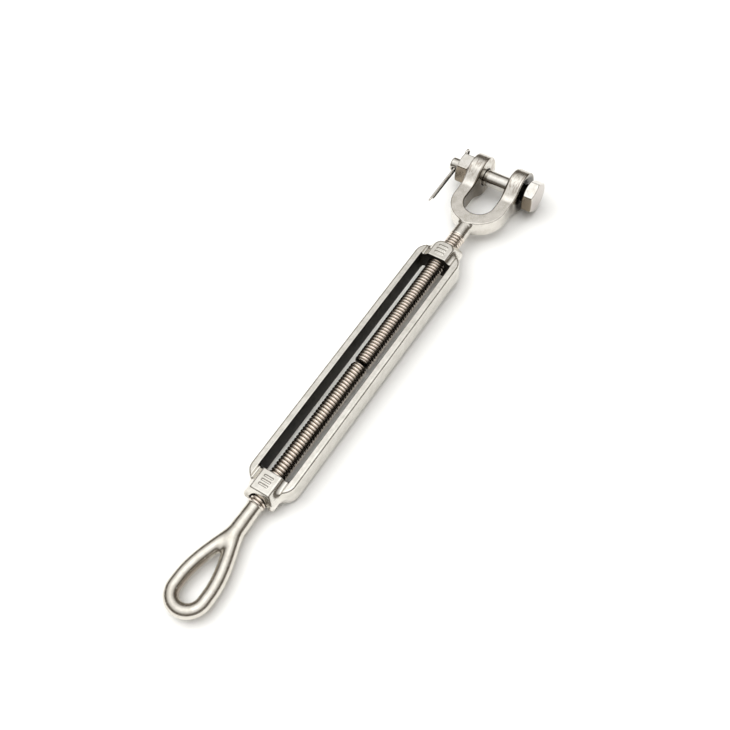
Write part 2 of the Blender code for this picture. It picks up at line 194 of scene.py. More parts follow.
def hexagon(x, z, turn, rounding):
    """A hexagon round the bolt's axis; turn is one flat's angle from +X towards +Z."""
    shape = None
    for i in range(3):
        angle = math.radians(turn + 60 * i)
        flat = np.abs(x * math.cos(angle) + z * math.sin(angle)) - ACROSS_FLATS / 2
        shape = flat if shape is None else meet(shape, flat, rounding)
    return shape


def hex_block(x, along, z, low, high, turn):
    """A hexagon with both ends flat and their corners turned off."""
    half = (high - low) / 2
    out = np.abs(along - low - half) - half
    block = meet(hexagon(x, z, turn, 0.25), out, 0.18)
    lean = math.radians(28)
    corner = (np.hypot(x, z) - ACROSS_FLATS / 2 + 0.15) * math.sin(lean) + out * math.cos(lean)
    return meet(block, corner, 0.22)


def boss_field(x, y, z):
    """Both hexagonal bosses, drafted towards their pads; the jaw's one has rounder corners."""
    across = math.hypot(BOSS_CORNER - BOSS_FLAT, BOSS_TOP)
    rounded_z = soft(z, 0.5)
    flank = np.abs(y) * BOSS_TOP + rounded_z * (BOSS_CORNER - BOSS_FLAT) - BOSS_CORNER * BOSS_TOP
    lean = math.atan2(BOSS_END + BOSS_NOSE - PAD_END, BOSS_TOP)
    end = (np.abs(x) - BOSS_END - BOSS_NOSE) * math.cos(lean) + rounded_z * math.sin(lean)
    plan = np.where(x > 0, meet(flank / across, end, JAW_BOSS_ROUNDING),
                    meet(flank / across, end, EYE_BOSS_ROUNDING))
    boss = meet(plan, np.abs(z) - BOSS_TOP, 0.4)
    dome = meet(np.hypot(y, z) - BOSS_CORNER - 0.05, np.abs(x) - BOSS_END, 2.0)
    boss = meet(boss, dome, 0.6)
    return meet(boss, OPENING_HALF - np.abs(x), 0.5)


def body_field(x, y, z):
    """The casting: rails, corner webs and bosses, with three plain raised bars on each pad."""
    inner = rounded_rectangle(x, y, OPENING_HALF, RAIL_INNER, 1.6)
    bars = meet(rounded_rectangle(x, y, RAIL_END, RAIL_OUTER, SHOULDER), np.abs(z) - RAIL_TOP, 0.9)
    bars = meet(bars, RAIL_INNER - np.abs(y), 0.28)
    web = rounded_rectangle(x, y, WEB_END, RAIL_OUTER - WEB_MELT, SHOULDER)
    web = meet(web, np.abs(z) - WEB_TOP, 1.0)
    whole = join(melt(bars, web, WEB_MELT), boss_field(x, y, z), 1.8)
    whole = meet(whole, -inner, 0.3)
    for i in (-1, 0, 1):
        middle = (OPENING_HALF + PAD_END) / 2 + MARK_SPACING * i
        bar = rounded_rectangle(np.abs(x) - middle, y, MARK_HALF_WIDTH, MARK_HALF_LENGTH, 0.3)
        whole = melt(whole, meet(bar, np.abs(z - BOSS_TOP) - MARK_HEIGHT, 0.1), 0.15)
    radial = np.hypot(y, z)
    mouth = radial - CREST - GAP - np.maximum(np.abs(x) - BOSS_END + 0.9, 0) * 0.6
    return meet(whole, -mouth, 0.35)


def jaw_field(x, y, z):
    """The fork and its neck; share is 0 along the fork's flat arms and 1 at the ears."""
    share = ease(EAR_X - 10, EAR_X - 5, x)
    from_bend = np.where(x < FORK_ARC_X, np.hypot(x - FORK_ARC_X, y), np.abs(y))
    inner = FORK_INNER + (EAR_INNER - FORK_INNER) * share
    outer = FORK_OUTER + (EAR_OUTER - FORK_OUTER) * share
    outline = np.maximum(inner - from_bend, from_bend - outer)
    disc = np.hypot(x - EAR_X, z) - EAR_RADIUS
    arm = np.maximum(np.abs(z) - FORK_TOP, x - EAR_X)
    side = join(arm, disc, 3.0)
    fork = meet(outline, side, 0.38 + 0.35 * share)
    radial = np.hypot(y, z)
    flare = NECK_RADIUS - 0.2 + 0.9 * ease(JAW_THREAD_END + 2.0, NECK_FLARE_END, x) ** 2
    neck = meet(radial - flare, np.abs(x - NECK_MIDDLE) - NECK_MIDDLE + JAW_THREAD_END + 1.0, 0.1)
    neck = meet(neck, np.abs(z) - FORK_TOP + 0.15, 1.2)
    whole = melt(fork, neck, 1.6)
    whole = np.where(x < FORK_FLAT_END, np.maximum(whole, np.abs(z) - FORK_TOP), whole)
    return meet(whole, BOLT_RADIUS + GAP - np.hypot(x - EAR_X, z), 0.4)


def eye_path():
    """The far side of the loop as (x, y, bar radius), from the stem to the end."""
    stem = STEM_RADIUS - EYE_MELT / 4
    path = []
    for along in np.linspace(EYE_THREAD_END + 0.2, EYE_WIDE_X, 29):
        share = max(0, (along - EYE_SPLIT_X) / (EYE_WIDE_X - EYE_SPLIT_X))
        split = float(ease(0, 1, share ** EYE_FLARE))
        spread = STEM_SPREAD * (1 - split) * float(ease(STEM_SPREAD_START, EYE_SPLIT_X, along))
        out = EYE_HALF_WIDTH * split + spread
        path.append((-along, out, stem + (BAR_RADIUS - stem) * min(1, out / LOOP_BAR_OUT)))
    for angle in np.radians(np.linspace(90, 180, 16)):
        path.append((-EYE_ARC_X + EYE_HALF_WIDTH * math.cos(angle),
                     EYE_HALF_WIDTH * math.sin(angle), BAR_RADIUS))
    return path


def bar_along(path, x, y, z):
    """Distance to a round bar whose radius changes along a path in the XY plane."""
    nearest = np.full_like(x, np.inf)
    for (x0, y0, r0), (x1, y1, r1) in zip(path, path[1:]):
        dx, dy = x1 - x0, y1 - y0
        share = np.clip(((x - x0) * dx + (y - y0) * dy) / (dx * dx + dy * dy), 0, 1)
        away = np.sqrt((x - x0 - share * dx) ** 2 + (y - y0 - share * dy) ** 2 + z * z)
        nearest = np.minimum(nearest, away - r0 - share * (r1 - r0))
    return nearest


def eye_field(x, y, z):
    """The loop and its stem; its two sides flow together at the stem only."""
    path = eye_path()
    width = 0.01 + EYE_MELT * (1 - ease(EYE_SPLIT_X + 6, EYE_WIDE_X, -x))
    whole = melt(bar_along(path, x, y, z), bar_along(path, x, -y, z), width)
    return meet(whole, x + EYE_THREAD_END, 0.15)


def bolt_field(x, y, z):
    """Head, plain shank, threaded end and the cross hole for the split pin."""
    x = x - EAR_X
    radial = np.hypot(x, z)
    head = hex_block(x, y, z, HEAD_END, HEAD_FACE, HEAD_TURN)
    turns = y / PITCH - np.arctan2(z, x) / TAU
    cut = ease(BOLT_THREAD_START - 0.4, BOLT_THREAD_START + 0.4, y)
    thread = CREST - THREAD_DEPTH * (0.5 - 0.5 * np.cos(TAU * turns)) * cut
    around = np.where(y < BOLT_THREAD_START, BOLT_RADIUS, thread)
    around = around + (BOLT_NOSE_RADIUS - around) * ease(BOLT_NOSE_START, BOLT_NOSE_START + 0.4, y)
    shank = meet((radial - around) * 0.8, y - BOLT_END, 0.7)
    shank = np.maximum(shank, HEAD_FACE - 1 - y)
    whole = join(head, shank, 0.35)
    return meet(whole, BOLT_CROSS_HOLE - np.hypot(y - SPLIT_Y, z), 0.25)


def nut_field(x, y, z):
    x = x - EAR_X
    block = hex_block(x, y, z, nut_low[1], nut_high[1], NUT_TURN)
    return meet(block, CREST + GAP - np.hypot(x, z), 0.4)


# From a field to a mesh

def ticks(*spans):
    """Grid lines over spans given as (start, end, step), each joined to the next."""
    lines = [np.linspace(start, end, max(2, round((end - start) / step) + 1))[:-1]
             for start, end, step in spans]
    return np.concatenate([*lines, [spans[-1][1]]])


def slopes(field, points, reach=0.01):
    """The field's gradient at each point."""
    gradient = np.empty_like(points)
    for axis in range(3):
        offset = np.zeros(3)
        offset[axis] = reach
        ahead = field(*(points + offset).T)
        behind = field(*(points - offset).T)
        gradient[:, axis] = (ahead - behind) / (2 * reach)
    return gradient


def settle(field, points, reach):
    """Move points onto the field's zero surface."""
    for _ in range(3):
        gradient = slopes(field, points)
        steepness = np.maximum((gradient ** 2).sum(1), 0.2)
        step = (field(*points.T) / steepness)[:, None] * gradient
        points = points - np.clip(step, -reach, reach)
    return points


def surface(field, lines):
    """Vertices and quads where a field changes sign on a grid, one vertex to a cell."""
    sides = [len(line) for line in lines]
    value = np.empty(sides)
    for i, x in enumerate(lines[0]):
        y, z = np.meshgrid(lines[1], lines[2], indexing="ij")
        value[i] = field(np.full_like(y, x), y, z)
    inside = value < 0
    cells = [side - 1 for side in sides]
    keys, places, flips = [], [], []
    for axis in range(3):
        low = [slice(None)] * 3
        high = [slice(None)] * 3
        low[axis], high[axis] = slice(0, -1), slice(1, None)
        edges = np.argwhere(inside[tuple(low)] != inside[tuple(high)])
        before = value[tuple(edges.T)]
        after_index = edges.copy()
        after_index[:, axis] += 1
        after = value[tuple(after_index.T)]
        place = np.stack([lines[d][edges[:, d]] for d in range(3)], 1)
        length = lines[axis][after_index[:, axis]] - place[:, axis]
        place[:, axis] += before / (before - after) * length
        b, c = (axis + 1) % 3, (axis + 2) % 3
        for back_b, back_c in ((1, 1), (0, 1), (0, 0), (1, 0)):
            cell = edges.copy()
            cell[:, b] -= back_b
            cell[:, c] -= back_c
            keys.append(np.ravel_multi_index(cell.T, cells))
            places.append(place)
        flips.append(before > 0)
    used, order = np.unique(np.concatenate(keys), return_inverse=True)
    weight = np.bincount(order)
    every = np.concatenate(places)
    points = np.stack([np.bincount(order, every[:, d]) / weight for d in range(3)], 1)
    quads = []
    start = 0
    for axis in range(3):
        count = len(flips[axis])
        corners = order[start:start + 4 * count].reshape(4, count).T
        corners[flips[axis]] = corners[flips[axis]][:, ::-1]
        quads.append(corners)
        start += 4 * count
    return points, np.concatenate(quads)


def object_from(name, points, faces):
    """A smooth mesh object from points in millimetres round the body's middle."""
    mesh = bpy.data.meshes.new(name)
    mesh.from_pydata((points * MM + np.array(BODY_MIDDLE)).tolist(), [], faces.tolist())
    mesh.validate()
    mesh.shade_smooth()
    made = bpy.data.objects.new(name, mesh)
    bpy.context.scene.collection.objects.link(made)
    return made


def skin(name, field, lines):
    points, quads = surface(field, lines)
    finest = min(float(np.diff(line).min()) for line in lines)
    return object_from(name, settle(field, points, finest / 2), quads)


# Threaded bars

THREAD_STEPS = 10
TURN_STEPS = 40
ROOT_SHARPNESS = 6
TIP_CHAMFER = 0.75


def threaded_bar(name, tip, direction, thread_end, stem_radius, end):
    """A closed threaded bar: a helical grid with its flat ends wound in to the axis.

    direction is 1 for the jaw's right-hand thread along +X and -1 for the eye's
    left-hand one along -X, which is its mirror image.
    """
    tip_radius = CREST - TIP_CHAMFER
    first = math.floor(-2.2 * THREAD_STEPS)
    last = math.ceil(((end - tip) / PITCH + 1.2) * THREAD_STEPS)
    row, column = np.meshgrid(np.arange(first, last + 1), np.arange(TURN_STEPS), indexing="ij")
    along = tip + PITCH * (row / THREAD_STEPS + column / TURN_STEPS)
    wave = np.abs(np.sin(math.pi * row / THREAD_STEPS)) ** ROOT_SHARPNESS
    radius = CREST - THREAD_DEPTH * wave
    radius = radius + (stem_radius - radius) * ease(thread_end - PITCH, thread_end, along)
    radius = np.minimum(radius, tip_radius + np.maximum(along - tip, 0))
    radius = np.where(along < tip, tip_radius * np.clip(1 + (along - tip) / PITCH, 0, 1), radius)
    radius = np.where(along > end, radius * np.clip(1 - (along - end) / PITCH, 0, 1), radius)
    angle = TAU * column / TURN_STEPS
    points = np.stack([direction * np.clip(along, tip, end), radius * np.cos(angle),
                       radius * np.sin(angle)], -1).reshape(-1, 3)
    index = np.arange(row.size).reshape(row.shape)
    usable = index[:-THREAD_STEPS - 1]
    here = np.concatenate([usable, index[THREAD_STEPS:-1, :1]], 1)
    above = np.concatenate([index[1:-THREAD_STEPS], index[THREAD_STEPS + 1:, :1]], 1)
    corners = [here[:, :-1], above[:, :-1], above[:, 1:], here[:, 1:]]
    faces = np.stack([corner.ravel() for corner in corners], 1)
    if direction > 0:
        faces = faces[:, ::-1]
    bar = object_from(name, points, faces)
    shape = bmesh.new()
    shape.from_mesh(bar.data)
    bmesh.ops.remove_doubles(shape, verts=shape.verts, dist=2e-6)
    bmesh.ops.holes_fill(shape, edges=shape.edges, sides=0)
    bmesh.ops.dissolve_degenerate(shape, edges=shape.edges, dist=1e-7)
    shape.to_mesh(bar.data)
    shape.free()
    return bar


def weld_together(shape, other):
    """One body from two overlapping ones."""
    modifier = shape.modifiers.new("forged on", "BOOLEAN")
    modifier.operation = "UNION"
    modifier.solver = "EXACT"
    modifier.object = other
    bpy.context.view_layer.update()
    seen = shape.evaluated_get(bpy.context.evaluated_depsgraph_get())
    mesh = bpy.data.meshes.new_from_object(seen)
    shape.modifiers.clear()
    shape.data = mesh
    bpy.data.objects.remove(other, do_unlink=True)
    mesh.shade_smooth()
    return shape


# Pieces

def make_body():
    end = BOSS_END + 0.5
    straight = OPENING_HALF - 3
    lines = [ticks((-end, -straight, 0.2), (-straight, straight, 1.6), (straight, end, 0.2)),
             ticks((-RAIL_OUTER - 0.5, RAIL_OUTER + 0.5, 0.2)),
             ticks((-BOSS_TOP - 0.5, BOSS_TOP + 0.7, 0.2))]
    return skin("body_casting", body_field, lines)


def make_jaw():
    lines = [ticks((JAW_THREAD_END, jaw_high[0] + 0.5, 0.22)),
             ticks((-EAR_OUTER - 0.5, EAR_OUTER + 0.5, 0.22)),
             ticks((-EAR_RADIUS - 0.5, EAR_RADIUS + 0.5, 0.22))]
    fork = skin("jaw_forging", jaw_field, lines)
    bar = threaded_bar("jaw_thread", JAW_TIP, 1, JAW_THREAD_END, NECK_RADIUS, JAW_BAR_END)
    return weld_together(fork, bar)


def make_eye():
    lines = [ticks((eye_low[0] - 0.5, -EYE_THREAD_END + 0.5, 0.2)),
             ticks((eye_low[1] - 0.5, eye_high[1] + 0.5, 0.2)),
             ticks((-STEM_RADIUS - 0.8, STEM_RADIUS + 0.8, 0.2))]
    loop = skin("eye_forging", eye_field, lines)
    bar = threaded_bar("eye_thread", EYE_TIP, -1, EYE_THREAD_END + 0.7, STEM_RADIUS - 0.03, EYE_BAR_END)
    return weld_together(loop, bar)


def around_bolt(low, high, step):
    """Grid lines round the bolt's axis that hold a hexagon at any turn."""
    reach = ACROSS_FLATS / 2 / math.cos(math.radians(30)) + 0.5
    return [ticks((EAR_X - reach, EAR_X + reach, step)), ticks((low - 0.5, high + 0.5, step)),
            ticks((-reach, reach, step))]


def make_bolt():
    return skin("bolt_turned", bolt_field, around_bolt(HEAD_END, BOLT_END, 0.17))


def make_nut():
    return skin("nut_machined", nut_field, around_bolt(nut_low[1], nut_high[1], 0.17))


def make_split_pin():
    """One bent wire: a long leg, a loop and a shorter leg, with both ends narrowed."""
    sides = 16
    leg = 0.64
    loop = 1.35
    centre = pin_high[0] - loop - WIRE_RADIUS
    short = pin_low[0] + 2.8
    bend = math.pi - math.asin(leg / loop)
    path = [(x, leg) for x in np.linspace(pin_low[0], centre - 2.2, 30)]
    path += [(centre + loop * math.cos(a), loop * math.sin(a)) for a in np.linspace(bend, -bend, 40)]
    path += [(x, -leg) for x in np.linspace(centre - 2.2, short, 30)]
    path = np.array(path)
    ahead = np.gradient(path, axis=0)
    ahead /= np.linalg.norm(ahead, axis=1)[:, None]
    rings = []
    for i, ((x, z), (dx, dz)) in enumerate(zip(path, ahead)):
        from_end = min(i, len(path) - 1 - i)
        size = WIRE_RADIUS * (0.75 if from_end == 0 else 1.0)
        angle = np.arange(sides) * TAU / sides
        rings.append(np.stack([x - dz * size * np.cos(angle), SPLIT_Y + size * np.sin(angle),
                               z + dx * size * np.cos(angle)], 1))
    points = np.concatenate(rings)
    index = np.arange(len(points)).reshape(-1, sides)
    turned = np.roll(index, -1, 1)
    corners = [index[:-1], turned[:-1], turned[1:], index[1:]]
    faces = np.stack([corner.ravel() for corner in corners], 1)
    pin = object_from("split_pin_wire", points, faces)
    shape = bmesh.new()
    shape.from_mesh(pin.data)
    bmesh.ops.holes_fill(shape, edges=shape.edges, sides=0)
    bmesh.ops.recalc_face_normals(shape, faces=shape.faces)
    shape.to_mesh(pin.data)
    shape.free()
    pin.data.shade_smooth()
    return pin


# Materials

CREST_TONE = (0.82, 0.74, 0.66)
# Painted shade in the thread's roots
ROOT_SHADE_TONE = (0.11, 0.09, 0.07)
# Painted shade in the gaps round the bolt: its holes in the ears and behind its head
GAP_SHADE_TONE = (0.03, 0.026, 0.02)
HEAD_SHADE_TONE = (0.05, 0.043, 0.035)
THROAT_TONE = (0.19, 0.165, 0.13)
# Painted reflection: brownish streaks for the folds in the ears' wavy reflection
REFLECTION_STREAK_TONE = (0.44, 0.39, 0.34)
MOTTLE_TONE = (0.24, 0.20, 0.16)
# Painted shade for the walls of the opening and the bores
WALL_SHADE_TONES = ((0.018, 0.016, 0.013), (0.05, 0.045, 0.038))
# Painted shade on the inner side of the eye's far bar
LOOP_INSIDE_SHADE_TONE = (0.40, 0.35, 0.30)
# Painted shade for the hexagons' flats that face the body and the floor
FLAT_SHADE_TONE = (0.26, 0.22, 0.17)
# Painted shade for the head's end face
END_FACE_SHADE_TONE = (0.60, 0.56, 0.53)
# Painted shade on the split pin's lower leg and where its legs meet
LOWER_LEG_SHADE_TONE = (0.09, 0.08, 0.065)
SEAM_SHADE_TONE = (0.02, 0.018, 0.014)

# Where the toned places lie along the screw axis, in millimetres
THROAT_START = (75.0, 76.5)
THROAT_END = (93.0, 98.0)
REFLECTION_STREAK_START = (89.0, 94.0)
LOOP_MIDDLE_X = 94
LOOP_HALF_LENGTH = 7.9
LOOP_HALF_GAP = 2.9
LOOP_SHADE_START = (-101.5, -98.5)


class Nodes:
    """A short way to write a material's node tree."""

    def __init__(self, name):
        self.material = bpy.data.materials.new(name)
        self.material.use_nodes = True
        self.tree = self.material.node_tree
        self.shader = self.tree.nodes["Principled BSDF"]
        place = self.add("ShaderNodeTexCoord").outputs["Object"]
        middle = self.add("ShaderNodeVectorMath", operation="SUBTRACT")
        self.link(place, middle.inputs[0])
        middle.inputs[1].default_value = BODY_MIDDLE
        scaled = self.add("ShaderNodeVectorMath", operation="SCALE")
        self.link(middle.outputs[0], scaled.inputs[0])
        scaled.inputs["Scale"].default_value = 1 / MM
        self.place = scaled.outputs[0]

    def add(self, kind, **settings):
        node = self.tree.nodes.new(kind)
        for key, value in settings.items():
            setattr(node, key, value)
        return node

    def link(self, source, target):
        self.tree.links.new(source, target)

    def put(self, value, socket):
        """Set a socket to a number, a colour or another node's output."""
        if isinstance(value, bpy.types.NodeSocket):
            self.link(value, socket)
        else:
            socket.default_value = value

    def math(self, operation, a, b=0.0, c=0.0):
        node = self.add("ShaderNodeMath", operation=operation)
        for value, socket in zip((a, b, c), node.inputs):
            self.put(value, socket)
        return node.outputs[0]

    def ramp(self, value, low, high, to_low=0.0, to_high=1.0):
        """value from low to high, as to_low to to_high with level ends."""
        node = self.add("ShaderNodeMapRange", interpolation_type="SMOOTHSTEP")
        inputs = (value, low, high, to_low, to_high)
        for given, socket in zip(inputs, node.inputs):
            self.put(given, socket)
        return node.outputs[0]

    def both(self, a, b):
        """The share of two masks that overlaps."""
        return self.math("MULTIPLY", a, b)

    def away(self, a, b):
        """The distance whose parts along two axes are a and b."""
        squares = self.math("ADD", self.math("MULTIPLY", a, a), self.math("MULTIPLY", b, b))
        return self.math("SQRT", squares)

    def axes(self):
        node = self.add("ShaderNodeSeparateXYZ")
        self.link(self.place, node.inputs[0])
        return node.outputs

    def noise(self, scale, stretch=(1, 1, 1), detail=3.0):
        """Noise whose scale is in features per millimetre."""
        mapping = self.add("ShaderNodeVectorMath", operation="MULTIPLY")
        self.link(self.place, mapping.inputs[0])
        mapping.inputs[1].default_value = stretch
        node = self.add("ShaderNodeTexNoise")
        self.link(mapping.outputs[0], node.inputs["Vector"])
        node.inputs["Scale"].default_value = scale
        node.inputs["Detail"].default_value = detail
        return node.outputs["Fac"]

    def mix(self, share, first, second):
        """Between two colours."""
        node = self.add("ShaderNodeMix", data_type="RGBA")
        self.put(share, node.inputs["Factor"])
        self.put(first if isinstance(first, bpy.types.NodeSocket) else (*first, 1), node.inputs[6])
        self.put(second if isinstance(second, bpy.types.NodeSocket) else (*second, 1), node.inputs[7])
        return node.outputs[2]

    def bump(self, height, depth_mm, normal=None):
        node = self.add("ShaderNodeBump")
        self.link(height, node.inputs["Height"])
        node.inputs["Distance"].default_value = depth_mm * MM
        if normal is not None:
            self.link(normal, node.inputs["Normal"])
        return node.outputs[0]

    def finish(self, colour, roughness, normal):
        self.put(colour, self.shader.inputs["Base Color"])
        self.put(roughness, self.shader.inputs["Roughness"])
        self.shader.inputs["Metallic"].default_value = 1.0
        self.link(normal, self.shader.inputs["Normal"])
        return self.material


def steel(nodes, tone, tint, roughness, grain, stretch=(1, 1, 1), wave=0.03):
    """Stainless steel: faint stains, uneven polish, fine grinding marks and slow waves."""
    stain = nodes.noise(0.35, detail=5.0)
    colour = nodes.mix(nodes.ramp(stain, 0.35, 0.7), tone, tint)
    polish = nodes.noise(grain, stretch, 4.0)
    rough = nodes.ramp(polish, 0.3, 0.7, roughness * 0.8, roughness * 1.25)
    fine = nodes.bump(polish, 0.004)
    normal = nodes.bump(nodes.noise(0.28, detail=1.0), wave, fine)
    return colour, rough, normal


def thread_tone_and_root_shade(nodes, colour, outer_end):
    """Warm tone on the thread, with painted shade in its roots, as far out as the thread's end."""
    x, y, z = nodes.axes()
    # Painted shade: the thread's roots darkened where little light reaches
    root_shade = nodes.ramp(nodes.away(y, z), CREST - THREAD_DEPTH, CREST - THREAD_DEPTH * 0.5, 1.0, 0.0)
    inside = nodes.ramp(nodes.math("ABSOLUTE", x), outer_end - 0.8, outer_end, 1.0, 0.0)
    colour = nodes.mix(inside, colour, CREST_TONE)
    return nodes.mix(nodes.both(root_shade, inside), colour, ROOT_SHADE_TONE)


def body_material():
    """Cast steel with painted shade on the walls of the opening and in the bores, and a mottled end at
    the eye.
    """
    nodes = Nodes("cast stainless")
    colour, rough, normal = steel(nodes, (0.80, 0.775, 0.725), (0.70, 0.675, 0.62), 0.20, 2.0,
                                  (0.25, 1, 1))
    x, y, z = nodes.axes()
    within_x = nodes.ramp(nodes.math("ABSOLUTE", x), OPENING_HALF + 0.1, OPENING_HALF + 0.35, 1.0, 0.0)
    within_y = nodes.ramp(nodes.math("ABSOLUTE", y), RAIL_INNER + 0.05, RAIL_INNER + 0.25, 1.0, 0.0)
    # Painted shade: the opening's walls and the bores near black, as if they mirrored only shadow
    wall_shade = nodes.both(within_x, within_y)
    bore_shade = nodes.ramp(nodes.away(y, z), CREST + GAP + 0.1, CREST + GAP + 0.35, 1.0, 0.0)
    wall_shade = nodes.math("MAXIMUM", wall_shade, bore_shade)
    dark = nodes.mix(nodes.noise(1.2), *WALL_SHADE_TONES)
    cast_end = nodes.ramp(x, -BOSS_END - 0.1, -BOSS_END + 1.2, 1.0, 0.0)
    mottle = nodes.both(cast_end, nodes.ramp(nodes.noise(0.7), 0.42, 0.58, 0.0, 0.8))
    colour = nodes.mix(mottle, colour, MOTTLE_TONE)
    colour = nodes.mix(wall_shade, colour, dark)
    rough = nodes.ramp(wall_shade, 0.0, 1.0, rough, 0.5)
    return nodes.finish(colour, rough, normal)


def jaw_material():
    """Forged steel, dark inside the fork's bend, with painted reflection streaks on the ears and
    painted shade in the bolt's holes and behind its head.
    """
    nodes = Nodes("forged stainless jaw")
    colour, rough, normal = steel(nodes, (0.77, 0.74, 0.69), (0.66, 0.63, 0.575), 0.22, 2.5,
                                  wave=0.06)
    x, y, z = nodes.axes()
    bend = nodes.away(nodes.math("MINIMUM", nodes.math("SUBTRACT", x, FORK_ARC_X), 0.0), y)
    throat = nodes.ramp(bend, FORK_INNER + 0.3, FORK_INNER + 0.5, 1.0, 0.0)
    throat = nodes.both(throat, nodes.ramp(x, *THROAT_START))
    throat = nodes.both(throat, nodes.ramp(x, *THROAT_END, 1.0, 0.0))
    from_bolt = nodes.away(nodes.math("SUBTRACT", x, EAR_X), z)
    hole = nodes.ramp(from_bolt, BOLT_RADIUS + GAP + 0.05, BOLT_RADIUS + GAP + 0.5, 1.0, 0.0)
    # Painted reflection: streaks on the ears stand for the folds in their wavy polished reflection
    reflection_folds = nodes.ramp(nodes.noise(0.55, (0.6, 2.2, 0.6), 5.0), 0.5, 0.62, 0.0, 0.75)
    reflection_streak = nodes.both(reflection_folds, nodes.ramp(x, *REFLECTION_STREAK_START))
    colour = nodes.mix(reflection_streak, colour, REFLECTION_STREAK_TONE)
    colour = nodes.mix(throat, colour, THROAT_TONE)
    # Painted shadow of the bolt's head on the near ear's outer face
    under_head = nodes.ramp(from_bolt, 6.0, 8.6, 1.0, 0.0)
    outer_face = nodes.ramp(y, 0.2 - EAR_OUTER, 0.6 - EAR_OUTER, 1.0, 0.0)
    colour = nodes.mix(nodes.both(under_head, outer_face), colour, HEAD_SHADE_TONE)
    # Painted shade: a dark ring in the gap round the bolt's holes
    colour = nodes.mix(hole, colour, GAP_SHADE_TONE)
    return nodes.finish(thread_tone_and_root_shade(nodes, colour, JAW_THREAD_END), rough, normal)


def eye_material():
    """Forged steel, with painted shade on the +Y side of the loop's opening."""
    nodes = Nodes("forged stainless eye")
    colour, rough, normal = steel(nodes, (0.75, 0.715, 0.655), (0.66, 0.625, 0.56), 0.22, 2.0,
                                  wave=0.012)
    x, y, z = nodes.axes()
    along = nodes.math("MULTIPLY_ADD", x, 1 / LOOP_HALF_LENGTH, LOOP_MIDDLE_X / LOOP_HALF_LENGTH)
    opening = nodes.away(along, nodes.math("MULTIPLY", y, 1 / LOOP_HALF_GAP))
    # Painted shade: the inner side of the loop's far bar darkened as if it mirrored the shadow inside
    # the loop
    inner_side_shade = nodes.both(nodes.ramp(opening, 1.2, 1.5, 1.0, 0.0), nodes.ramp(y, 0.8, 2.0))
    inner_side_shade = nodes.both(inner_side_shade, nodes.ramp(x, *LOOP_SHADE_START))
    colour = nodes.mix(inner_side_shade, colour, LOOP_INSIDE_SHADE_TONE)
    return nodes.finish(thread_tone_and_root_shade(nodes, colour, EYE_THREAD_END), rough, normal)


def shaded_flats(nodes, colour, turn, ends):
    """Paints shade on the two flats of a hexagon that face the body and the floor, between its ends."""
    x, y, z = nodes.axes()
    for step in (120, 180):
        angle = math.radians(turn + step)
        leaning = nodes.math("MULTIPLY", nodes.math("SUBTRACT", x, EAR_X), math.cos(angle))
        reach = nodes.math("MULTIPLY_ADD", z, math.sin(angle), leaning)
        flat = nodes.ramp(reach, ACROSS_FLATS / 2 - 0.25, ACROSS_FLATS / 2 - 0.08)
        after = nodes.ramp(y, ends[0], ends[0] + 0.3)
        before = nodes.ramp(y, ends[1] - 0.3, ends[1], 1.0, 0.0)
        # Painted shade: these flats darkened as if they mirrored the shadow under the turnbuckle
        colour = nodes.mix(nodes.both(flat, nodes.both(after, before)), colour, FLAT_SHADE_TONE)
    return colour


def bolt_material():
    """Turned steel with painted shade on two flats, on the head's end face and in the gap behind the
    head.
    """
    nodes = Nodes("turned stainless bolt")
    colour, rough, normal = steel(nodes, (0.74, 0.72, 0.68), (0.64, 0.61, 0.56), 0.18, 1.6,
                                  (1, 4, 1), 0.01)
    colour = shaded_flats(nodes, colour, HEAD_TURN, (HEAD_END, HEAD_FACE))
    x, y, z = nodes.axes()
    past_head = nodes.ramp(y, HEAD_FACE - 0.1, HEAD_FACE)
    behind_head_shade = nodes.both(past_head, nodes.ramp(y, -EAR_OUTER, -EAR_INNER, 1.0, 0.0))
    # Painted shade: the head's end face darkened to dim its reflection of the floor
    end_face_shade = nodes.ramp(y, HEAD_END + 0.05, HEAD_END + 0.2, 1.0, 0.0)
    colour = nodes.mix(end_face_shade, colour, END_FACE_SHADE_TONE)
    # Painted shade in the gap behind the head
    colour = nodes.mix(behind_head_shade, colour, GAP_SHADE_TONE)
    return nodes.finish(colour, rough, normal)


def nut_material():
    nodes = Nodes("machined stainless nut")
    colour, rough, normal = steel(nodes, (0.72, 0.70, 0.66), (0.62, 0.59, 0.54), 0.24, 2.5, wave=0.01)
    # Painted shade on the nut's flats that face the body and the floor
    colour = shaded_flats(nodes, colour, NUT_TURN, (nut_low[1], nut_high[1]))
    return nodes.finish(colour, rough, normal)


def wire_material():
    """Drawn wire with painted shade on its lower leg and darker painted shade where the legs meet."""
    nodes = Nodes("drawn stainless wire")
    colour, rough, normal = steel(nodes, (0.86, 0.83, 0.79), (0.74, 0.70, 0.65), 0.16, 3.0,
                                  (0.2, 1, 1), 0.0)
    x, y, z = nodes.axes()
    # Painted shade: the lower leg darkened as an underside
    lower_leg_shade = nodes.ramp(z, 0.0, 0.4, 1.0, 0.0)
    colour = nodes.mix(lower_leg_shade, colour, LOWER_LEG_SHADE_TONE)
    # Painted shade where the two legs meet
    seam_shade = nodes.ramp(nodes.math("ABSOLUTE", z), 0.15, 0.4, 1.0, 0.0)
    colour = nodes.mix(seam_shade, colour, SEAM_SHADE_TONE)
    return nodes.finish(colour, rough, normal)


def floor_material():
    nodes = Nodes("white paper")
    paper = nodes.mix(nodes.noise(0.02), (0.90, 0.90, 0.885), (0.91, 0.91, 0.90))
    normal = nodes.bump(nodes.noise(0.6), 0.01)
    material = nodes.finish(paper, 0.75, normal)
    nodes.shader.inputs["Metallic"].default_value = 0.0
    return material


# Studio: the camera's place in millimetres, the lights' places and sizes in metres

